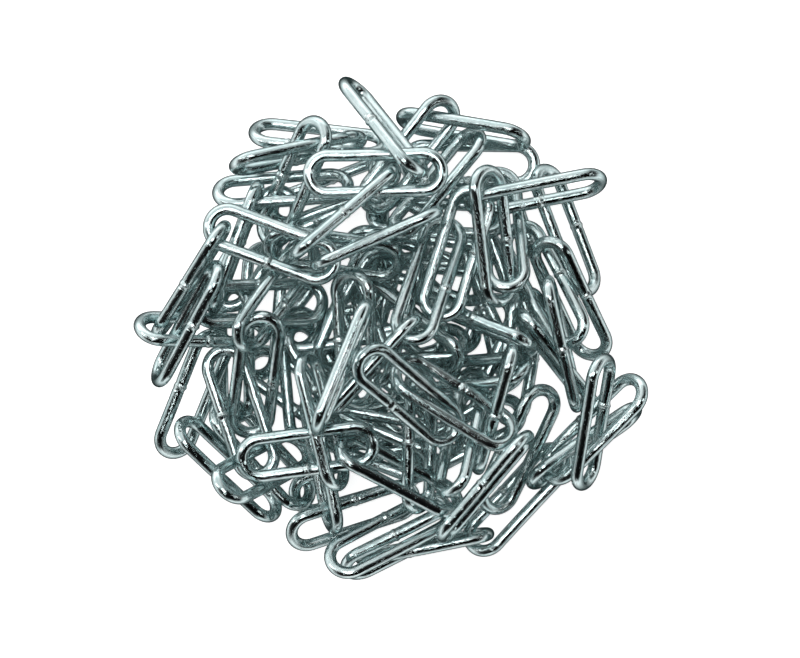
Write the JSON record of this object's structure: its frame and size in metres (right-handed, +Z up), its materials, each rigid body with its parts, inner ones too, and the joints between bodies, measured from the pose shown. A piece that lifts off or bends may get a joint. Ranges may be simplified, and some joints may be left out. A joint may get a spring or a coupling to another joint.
{
  "type": "heap of steel chain",
  "caption": "Loose heap of bright zinc-plated long-link steel chain, its oval welded links lying tangled and threaded through each other on the floor.",
  "frame": {"origin": "the middle of the heap's outline in plan, on the floor that it lies on", "axes": "+Z up from the floor; +X to the right and +Y to the top of the reference picture, which looks straight down"},
  "size_m": [0.1032, 0.1024, 0.0347],
  "materials": {
    "bright_zinc": "bright zinc plate over drawn steel wire, with sharp reflections along the wire"
  },
  "bodies": {
    "root": {"hidden_chain": "bright_zinc", "middle_link_01": "bright_zinc", "middle_link_02": "bright_zinc", "middle_link_03": "bright_zinc", "middle_link_04": "bright_zinc", "middle_link_05": "bright_zinc", "middle_link_06": "bright_zinc", "middle_link_07": "bright_zinc", "middle_link_08": "bright_zinc", "middle_link_09": "bright_zinc", "middle_link_10": "bright_zinc", "middle_link_11": "bright_zinc", "middle_link_12": "bright_zinc", "middle_link_13": "bright_zinc", "middle_link_14": "bright_zinc", "middle_link_15": "bright_zinc", "middle_link_16": "bright_zinc", "middle_link_17": "bright_zinc", "middle_link_18": "bright_zinc", "middle_link_19": "bright_zinc", "middle_link_20": "bright_zinc", "middle_link_21": "bright_zinc", "middle_link_22": "bright_zinc", "rim_link_01": "bright_zinc", "rim_link_02": "bright_zinc", "rim_link_03": "bright_zinc", "rim_link_04": "bright_zinc", "rim_link_05": "bright_zinc", "rim_link_06": "bright_zinc", "rim_link_07": "bright_zinc", "rim_link_08": "bright_zinc", "rim_link_09": "bright_zinc", "rim_link_10": "bright_zinc", "rim_link_11": "bright_zinc", "rim_link_12": "bright_zinc", "rim_link_13": "bright_zinc", "rim_link_14": "bright_zinc", "rim_link_15": "bright_zinc", "rim_link_16": "bright_zinc", "rim_link_17": "bright_zinc", "rim_link_18": "bright_zinc", "rim_link_19": "bright_zinc", "rim_link_20": "bright_zinc", "rim_link_21": "bright_zinc", "rim_link_22": "bright_zinc", "rim_link_23": "bright_zinc", "top_link_01": "bright_zinc", "top_link_02": "bright_zinc", "top_link_03": "bright_zinc", "top_link_04": "bright_zinc", "top_link_05": "bright_zinc", "top_link_06": "bright_zinc", "top_link_07": "bright_zinc", "top_link_08": "bright_zinc", "top_link_09": "bright_zinc", "top_link_10": "bright_zinc", "top_link_11": "bright_zinc", "top_link_12": "bright_zinc", "top_link_13": "bright_zinc", "top_link_14": "bright_zinc"}
  },
  "joints": []
}
